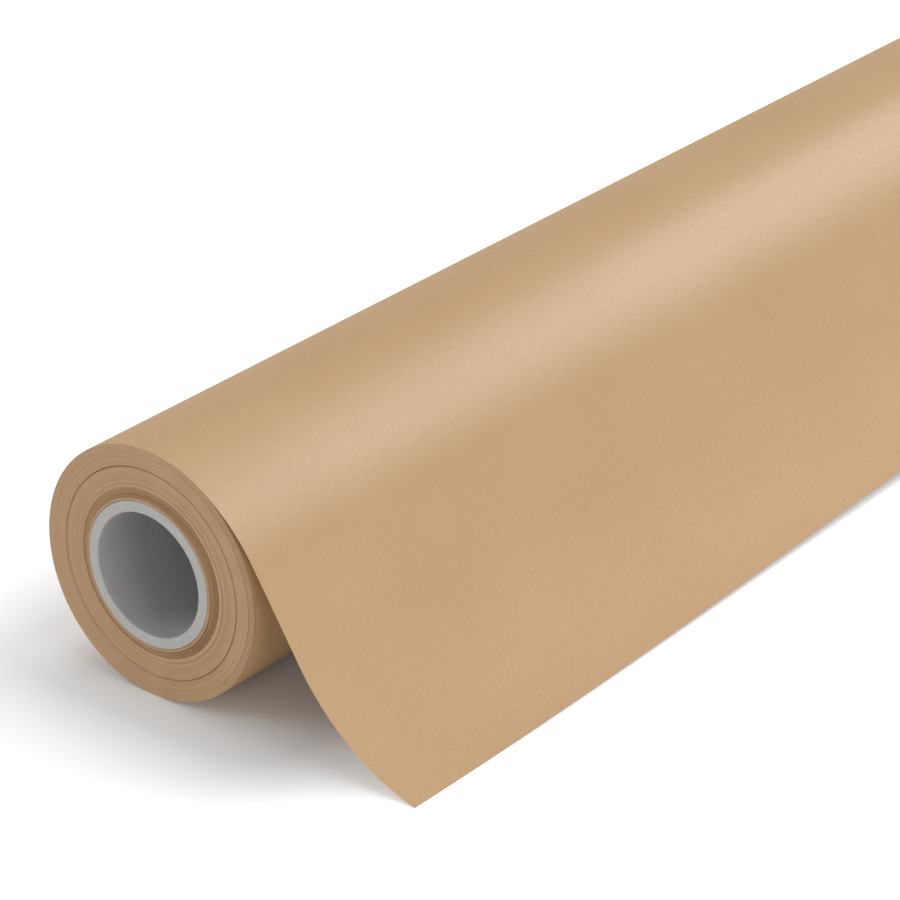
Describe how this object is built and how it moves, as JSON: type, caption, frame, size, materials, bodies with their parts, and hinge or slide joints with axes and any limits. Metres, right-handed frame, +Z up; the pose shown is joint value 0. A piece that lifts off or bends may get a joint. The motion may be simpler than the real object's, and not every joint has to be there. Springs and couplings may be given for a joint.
{
  "type": "wrapping paper roll",
  "caption": "Roll of plain kraft wrapping paper wound on a hollow board core, with a slack last lap and a free end that curls down to the bench.",
  "frame": {"origin": "on the axis of the core's bore, at mid-length", "axes": "+Y along the roll, away from the end that shows; +X towards the free end of the paper; +Z up, with the bench half a roll diameter below the origin"},
  "size_m": [0.1805, 0.613, 0.1051],
  "materials": {
    "kraft": "smooth machine-glazed kraft, satin",
    "kraft_edge": "wound paper edges, matte",
    "board": "grey board, matte",
    "tape": "gummed paper tape, matte"
  },
  "bodies": {
    "web": {"outer_lap": "kraft"},
    "pack": {"core_ply_1": "board", "core_ply_2": "board", "core_ply_3": "board", "core_ply_4": "board", "core_ply_5": "board", "core_ply_6": "board", "core_start_tape": "tape", "wound_paper": "kraft_edge"},
    "sheet_1": {"free_sheet_1": "kraft"},
    "sheet_2": {"free_sheet_2": "kraft"},
    "sheet_3": {"free_sheet_3": "kraft"},
    "sheet_4": {"free_sheet_4": "kraft"},
    "sheet_5": {"free_sheet_5": "kraft"},
    "sheet_6": {"free_sheet_6": "kraft"},
    "sheet_7": {"free_sheet_7": "kraft"},
    "sheet_8": {"free_sheet_8": "kraft"},
    "sheet_9": {"free_sheet_9": "kraft"}
  },
  "joints": [
    {"name": "pack_spin", "type": "hinge", "parent": "web", "child": "pack", "pos_m": [0, 0, 0], "axis": [0, 1, 0], "continuous": true},
    {"name": "sheet_curl_1", "type": "hinge", "parent": "web", "child": "sheet_1", "pos_m": [0.04727, 0, 0.02831], "axis": [0, 1, 0], "range_deg": [-2.68, 10.72]},
    {"name": "sheet_curl_2", "type": "hinge", "parent": "sheet_1", "child": "sheet_2", "pos_m": [0.05439, 0, 0.01734], "axis": [0, 1, 0], "range_deg": [-3.45, 13.75]},
    {"name": "sheet_curl_3", "type": "hinge", "parent": "sheet_2", "child": "sheet_3", "pos_m": [0.06151, 0, 0.00637], "axis": [0, 1, 0], "range_deg": [-3.48, 13.86]},
    {"name": "sheet_curl_4", "type": "hinge", "parent": "sheet_3", "child": "sheet_4", "pos_m": [0.06864, 0, -0.00459], "axis": [0, 1, 0], "range_deg": [-3.58, 14.27]},
    {"name": "sheet_curl_5", "type": "hinge", "parent": "sheet_4", "child": "sheet_5", "pos_m": [0.07582, 0, -0.01553], "axis": [0, 1, 0], "range_deg": [-5.02, 20]},
    {"name": "sheet_curl_6", "type": "hinge", "parent": "sheet_5", "child": "sheet_6", "pos_m": [0.08408, 0, -0.02565], "axis": [0, 1, 0], "range_deg": [-5.12, 20.4]},
    {"name": "sheet_curl_7", "type": "hinge", "parent": "sheet_6", "child": "sheet_7", "pos_m": [0.09369, 0, -0.03451], "axis": [0, 1, 0], "range_deg": [-5.57, 22.24]},
    {"name": "sheet_curl_8", "type": "hinge", "parent": "sheet_7", "child": "sheet_8", "pos_m": [0.10444, 0, -0.04194], "axis": [0, 1, 0], "range_deg": [-5.57, 22.24]},
    {"name": "sheet_curl_9", "type": "hinge", "parent": "sheet_8", "child": "sheet_9", "pos_m": [0.11612, 0, -0.04779], "axis": [0, 1, 0], "range_deg": [-5.57, 22.24]}
  ],
  "couplings": [
    {"joint": "sheet_curl_2", "follows": "sheet_curl_1", "ratio": 1.2805},
    {"joint": "sheet_curl_3", "follows": "sheet_curl_1", "ratio": 1.2903},
    {"joint": "sheet_curl_4", "follows": "sheet_curl_1", "ratio": 1.3286},
    {"joint": "sheet_curl_5", "follows": "sheet_curl_1", "ratio": 1.8637},
    {"joint": "sheet_curl_6", "follows": "sheet_curl_1", "ratio": 1.9005},
    {"joint": "sheet_curl_7", "follows": "sheet_curl_1", "ratio": 2.0718},
    {"joint": "sheet_curl_8", "follows": "sheet_curl_1", "ratio": 2.0718},
    {"joint": "sheet_curl_9", "follows": "sheet_curl_1", "ratio": 2.0718}
  ]
}
